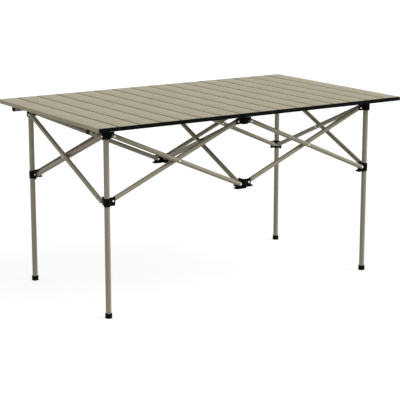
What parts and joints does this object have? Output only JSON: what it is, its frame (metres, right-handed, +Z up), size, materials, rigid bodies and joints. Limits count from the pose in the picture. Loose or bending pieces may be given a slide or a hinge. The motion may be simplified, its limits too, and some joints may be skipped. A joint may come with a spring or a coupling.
{
  "type": "roll top camp table",
  "caption": "Folding camp table with a roll-up top of hollow aluminium slats on two rails, carried by a tubular scissor frame with legs, sliding collars and black hubs.",
  "frame": {"origin": "on the floor below the middle of the table top", "axes": "+X along the table, +Y to the back, +Z up"},
  "size_m": [1.32, 0.786, 0.7],
  "materials": {
    "slat_aluminium": "satin anodised",
    "tube_aluminium": "satin anodised",
    "black_plastic": "moulded",
    "rivet_aluminium": "bright"
  },
  "bodies": {
    "middle_front": {"hub_top_fm": "black_plastic", "rail_front": "tube_aluminium"},
    "middle_back": {"hub_top_bm": "black_plastic", "rail_back": "tube_aluminium"},
    "post_fl": {"leg_fl": "tube_aluminium", "foot_fl": "black_plastic", "hub_top_fl": "black_plastic"},
    "slider_fl": {"slider_fl": "black_plastic"},
    "post_fr": {"leg_fr": "tube_aluminium", "foot_fr": "black_plastic", "hub_top_fr": "black_plastic"},
    "slider_fr": {"slider_fr": "black_plastic"},
    "post_bl": {"leg_bl": "tube_aluminium", "foot_bl": "black_plastic", "hub_top_bl": "black_plastic"},
    "slider_bl": {"slider_bl": "black_plastic"},
    "post_br": {"leg_br": "tube_aluminium", "foot_br": "black_plastic", "hub_top_br": "black_plastic"},
    "slider_br": {"slider_br": "black_plastic"},
    "hub_low_fm": {"hub_low_fm": "black_plastic"},
    "hub_low_bm": {"hub_low_bm": "black_plastic"},
    "bar_fl_fm": {"bar_fl_fm": "tube_aluminium"},
    "bar_fm_fl": {"bar_fm_fl": "tube_aluminium", "cross_fl_fm": "rivet_aluminium"},
    "bar_fm_fr": {"bar_fm_fr": "tube_aluminium", "cross_fm_fr": "rivet_aluminium"},
    "bar_fr_fm": {"bar_fr_fm": "tube_aluminium"},
    "bar_bl_bm": {"bar_bl_bm": "tube_aluminium"},
    "bar_bm_bl": {"bar_bm_bl": "tube_aluminium", "cross_bl_bm": "rivet_aluminium"},
    "bar_bm_br": {"bar_bm_br": "tube_aluminium", "cross_bm_br": "rivet_aluminium"},
    "bar_br_bm": {"bar_br_bm": "tube_aluminium"},
    "bar_fl_bl": {"bar_fl_bl": "tube_aluminium", "cross_fl_bl": "rivet_aluminium"},
    "bar_bl_fl": {"bar_bl_fl": "tube_aluminium"},
    "bar_fm_bm": {"bar_fm_bm": "tube_aluminium", "cross_fm_bm": "rivet_aluminium"},
    "bar_bm_fm": {"bar_bm_fm": "tube_aluminium"},
    "bar_fr_br": {"bar_fr_br": "tube_aluminium", "cross_fr_br": "rivet_aluminium"},
    "bar_br_fr": {"bar_br_fr": "tube_aluminium"},
    "slat_01": {"slat_01": "slat_aluminium"},
    "slat_02": {"slat_02": "slat_aluminium"},
    "slat_03": {"slat_03": "slat_aluminium"},
    "slat_04": {"slat_04": "slat_aluminium"},
    "slat_05": {"slat_05": "slat_aluminium"},
    "slat_06": {"slat_06": "slat_aluminium"},
    "slat_07": {"slat_07": "slat_aluminium"},
    "slat_08": {"slat_08": "slat_aluminium"},
    "slat_09": {"slat_09": "slat_aluminium"},
    "slat_10": {"slat_10": "slat_aluminium"},
    "slat_11": {"slat_11": "slat_aluminium"},
    "slat_12": {"slat_12": "slat_aluminium"},
    "slat_13": {"slat_13": "slat_aluminium"},
    "slat_14": {"slat_14": "slat_aluminium"},
    "slat_15": {"slat_15": "slat_aluminium"},
    "slat_16": {"slat_16": "slat_aluminium"}
  },
  "joints": [
    {"name": "fold", "type": "hinge", "parent": "middle_front", "child": "bar_fm_fr", "pos_m": [0.024, -0.2885, 0.6522], "axis": [0, 1, 0], "range_deg": [0, 56]},
    {"name": "bar_fr_fm_cross", "type": "hinge", "parent": "bar_fm_fr", "child": "bar_fr_fm", "pos_m": [0.2885, -0.2885, 0.5367], "axis": [0, 1, 0], "range_deg": [-112, 0]},
    {"name": "post_fr_top", "type": "hinge", "parent": "bar_fr_fm", "child": "post_fr", "pos_m": [0.553, -0.2885, 0.6522], "axis": [0, 1, 0], "range_deg": [0, 56]},
    {"name": "slider_fr_low", "type": "hinge", "parent": "bar_fm_fr", "child": "slider_fr", "pos_m": [0.553, -0.2885, 0.4212], "axis": [0, 1, 0], "range_deg": [-56, 0]},
    {"name": "hub_low_fm_low", "type": "hinge", "parent": "bar_fr_fm", "child": "hub_low_fm", "pos_m": [0.024, -0.2885, 0.4212], "axis": [0, 1, 0], "range_deg": [0, 56]},
    {"name": "bar_fm_fl_top", "type": "hinge", "parent": "middle_front", "child": "bar_fm_fl", "pos_m": [-0.024, -0.2885, 0.6522], "axis": [0, 1, 0], "range_deg": [-56, 0]},
    {"name": "bar_fl_fm_cross", "type": "hinge", "parent": "bar_fm_fl", "child": "bar_fl_fm", "pos_m": [-0.2885, -0.2885, 0.5367], "axis": [0, 1, 0], "range_deg": [0, 112]},
    {"name": "post_fl_top", "type": "hinge", "parent": "bar_fl_fm", "child": "post_fl", "pos_m": [-0.553, -0.2885, 0.6522], "axis": [0, 1, 0], "range_deg": [-56, 0]},
    {"name": "slider_fl_low", "type": "hinge", "parent": "bar_fm_fl", "child": "slider_fl", "pos_m": [-0.553, -0.2885, 0.4212], "axis": [0, 1, 0], "range_deg": [0, 56]},
    {"name": "bar_fm_bm_top", "type": "hinge", "parent": "middle_front", "child": "bar_fm_bm", "pos_m": [0, -0.2645, 0.6522], "axis": [1, 0, 0], "range_deg": [-56, 0]},
    {"name": "bar_bm_fm_cross", "type": "hinge", "parent": "bar_fm_bm", "child": "bar_bm_fm", "pos_m": [0, 0, 0.5367], "axis": [1, 0, 0], "range_deg": [0, 112]},
    {"name": "middle_back_top", "type": "hinge", "parent": "bar_bm_fm", "child": "middle_back", "pos_m": [0, 0.2645, 0.6522], "axis": [1, 0, 0], "range_deg": [-56, 0]},
    {"name": "hub_low_bm_low", "type": "hinge", "parent": "bar_fm_bm", "child": "hub_low_bm", "pos_m": [0, 0.2645, 0.4212], "axis": [1, 0, 0], "range_deg": [0, 56]},
    {"name": "bar_fl_bl_top", "type": "hinge", "parent": "post_fl", "child": "bar_fl_bl", "pos_m": [-0.577, -0.2645, 0.6522], "axis": [1, 0, 0], "range_deg": [-56, 0]},
    {"name": "bar_bl_fl_cross", "type": "hinge", "parent": "bar_fl_bl", "child": "bar_bl_fl", "pos_m": [-0.577, 0, 0.5367], "axis": [1, 0, 0], "range_deg": [0, 112]},
    {"name": "post_bl_top", "type": "hinge", "parent": "bar_bl_fl", "child": "post_bl", "pos_m": [-0.577, 0.2645, 0.6522], "axis": [1, 0, 0], "range_deg": [-56, 0]},
    {"name": "slider_bl_low", "type": "hinge", "parent": "bar_fl_bl", "child": "slider_bl", "pos_m": [-0.577, 0.2645, 0.4212], "axis": [1, 0, 0], "range_deg": [0, 56]},
    {"name": "bar_fr_br_top", "type": "hinge", "parent": "post_fr", "child": "bar_fr_br", "pos_m": [0.577, -0.2645, 0.6522], "axis": [1, 0, 0], "range_deg": [-56, 0]},
    {"name": "bar_br_fr_cross", "type": "hinge", "parent": "bar_fr_br", "child": "bar_br_fr", "pos_m": [0.577, 0, 0.5367], "axis": [1, 0, 0], "range_deg": [0, 112]},
    {"name": "post_br_top", "type": "hinge", "parent": "bar_br_fr", "child": "post_br", "pos_m": [0.577, 0.2645, 0.6522], "axis": [1, 0, 0], "range_deg": [-56, 0]},
    {"name": "slider_br_low", "type": "hinge", "parent": "bar_fr_br", "child": "slider_br", "pos_m": [0.577, 0.2645, 0.4212], "axis": [1, 0, 0], "range_deg": [0, 56]},
    {"name": "bar_bm_br_top", "type": "hinge", "parent": "middle_back", "child": "bar_bm_br", "pos_m": [0.024, 0.2885, 0.6522], "axis": [0, 1, 0], "range_deg": [0, 56]},
    {"name": "bar_br_bm_cross", "type": "hinge", "parent": "bar_bm_br", "child": "bar_br_bm", "pos_m": [0.2885, 0.2885, 0.5367], "axis": [0, 1, 0], "range_deg": [-112, 0]},
    {"name": "bar_bm_bl_top", "type": "hinge", "parent": "middle_back", "child": "bar_bm_bl", "pos_m": [-0.024, 0.2885, 0.6522], "axis": [0, 1, 0], "range_deg": [-56, 0]},
    {"name": "bar_bl_bm_cross", "type": "hinge", "parent": "bar_bm_bl", "child": "bar_bl_bm", "pos_m": [-0.2885, 0.2885, 0.5367], "axis": [0, 1, 0], "range_deg": [0, 112]},
    {"name": "lift", "type": "slide", "parent": "middle_front", "child": "slat_01", "axis": [0, 0, 1], "range_m": [0, 0.3]},
    {"name": "roll_01", "type": "hinge", "parent": "slat_01", "child": "slat_02", "pos_m": [-0.583, 0, 0.7], "axis": [0, -1, 0], "range_deg": [0, 42.57]},
    {"name": "roll_02", "type": "hinge", "parent": "slat_02", "child": "slat_03", "pos_m": [-0.49971, 0, 0.7], "axis": [0, -1, 0], "range_deg": [0, 43.85]},
    {"name": "roll_03", "type": "hinge", "parent": "slat_03", "child": "slat_04", "pos_m": [-0.41643, 0, 0.7], "axis": [0, -1, 0], "range_deg": [0, 45.24]},
    {"name": "roll_04", "type": "hinge", "parent": "slat_04", "child": "slat_05", "pos_m": [-0.33314, 0, 0.7], "axis": [0, -1, 0], "range_deg": [0, 46.76]},
    {"name": "roll_05", "type": "hinge", "parent": "slat_05", "child": "slat_06", "pos_m": [-0.24986, 0, 0.7], "axis": [0, -1, 0], "range_deg": [0, 48.45]},
    {"name": "roll_06", "type": "hinge", "parent": "slat_06", "child": "slat_07", "pos_m": [-0.16657, 0, 0.7], "axis": [0, -1, 0], "range_deg": [0, 50.33]},
    {"name": "roll_07", "type": "hinge", "parent": "slat_07", "child": "slat_08", "pos_m": [-0.08329, 0, 0.7], "axis": [0, -1, 0], "range_deg": [0, 52.44]},
    {"name": "roll_08", "type": "hinge", "parent": "slat_08", "child": "slat_09", "pos_m": [0, 0, 0.7], "axis": [0, -1, 0], "range_deg": [0, 54.83]},
    {"name": "roll_09", "type": "hinge", "parent": "slat_09", "child": "slat_10", "pos_m": [0.08329, 0, 0.7], "axis": [0, -1, 0], "range_deg": [0, 57.56]},
    {"name": "roll_10", "type": "hinge", "parent": "slat_10", "child": "slat_11", "pos_m": [0.16657, 0, 0.7], "axis": [0, -1, 0], "range_deg": [0, 60.72]},
    {"name": "roll_11", "type": "hinge", "parent": "slat_11", "child": "slat_12", "pos_m": [0.24986, 0, 0.7], "axis": [0, -1, 0], "range_deg": [0, 64.43]},
    {"name": "roll_12", "type": "hinge", "parent": "slat_12", "child": "slat_13", "pos_m": [0.33314, 0, 0.7], "axis": [0, -1, 0], "range_deg": [0, 68.88]},
    {"name": "roll_13", "type": "hinge", "parent": "slat_13", "child": "slat_14", "pos_m": [0.41643, 0, 0.7], "axis": [0, -1, 0], "range_deg": [0, 74.31]},
    {"name": "roll_14", "type": "hinge", "parent": "slat_14", "child": "slat_15", "pos_m": [0.49971, 0, 0.7], "axis": [0, -1, 0], "range_deg": [0, 81.13]},
    {"name": "roll_15", "type": "hinge", "parent": "slat_15", "child": "slat_16", "pos_m": [0.583, 0, 0.7], "axis": [0, -1, 0], "range_deg": [0, 90]}
  ],
  "couplings": [
    {"joint": "bar_fr_fm_cross", "follows": "fold", "ratio": -2},
    {"joint": "post_fr_top", "follows": "fold", "ratio": 1},
    {"joint": "slider_fr_low", "follows": "fold", "ratio": -1},
    {"joint": "hub_low_fm_low", "follows": "fold", "ratio": 1},
    {"joint": "bar_fm_fl_top", "follows": "fold", "ratio": -1},
    {"joint": "bar_fl_fm_cross", "follows": "fold", "ratio": 2},
    {"joint": "post_fl_top", "follows": "fold", "ratio": -1},
    {"joint": "slider_fl_low", "follows": "fold", "ratio": 1},
    {"joint": "bar_fm_bm_top", "follows": "fold", "ratio": -1},
    {"joint": "bar_bm_fm_cross", "follows": "fold", "ratio": 2},
    {"joint": "middle_back_top", "follows": "fold", "ratio": -1},
    {"joint": "hub_low_bm_low", "follows": "fold", "ratio": 1},
    {"joint": "bar_fl_bl_top", "follows": "fold", "ratio": -1},
    {"joint": "bar_bl_fl_cross", "follows": "fold", "ratio": 2},
    {"joint": "post_bl_top", "follows": "fold", "ratio": -1},
    {"joint": "slider_bl_low", "follows": "fold", "ratio": 1},
    {"joint": "bar_fr_br_top", "follows": "fold", "ratio": -1},
    {"joint": "bar_br_fr_cross", "follows": "fold", "ratio": 2},
    {"joint": "post_br_top", "follows": "fold", "ratio": -1},
    {"joint": "slider_br_low", "follows": "fold", "ratio": 1},
    {"joint": "bar_bm_br_top", "follows": "fold", "ratio": 1},
    {"joint": "bar_br_bm_cross", "follows": "fold", "ratio": -2},
    {"joint": "bar_bm_bl_top", "follows": "fold", "ratio": -1},
    {"joint": "bar_bl_bm_cross", "follows": "fold", "ratio": 2}
  ]
}
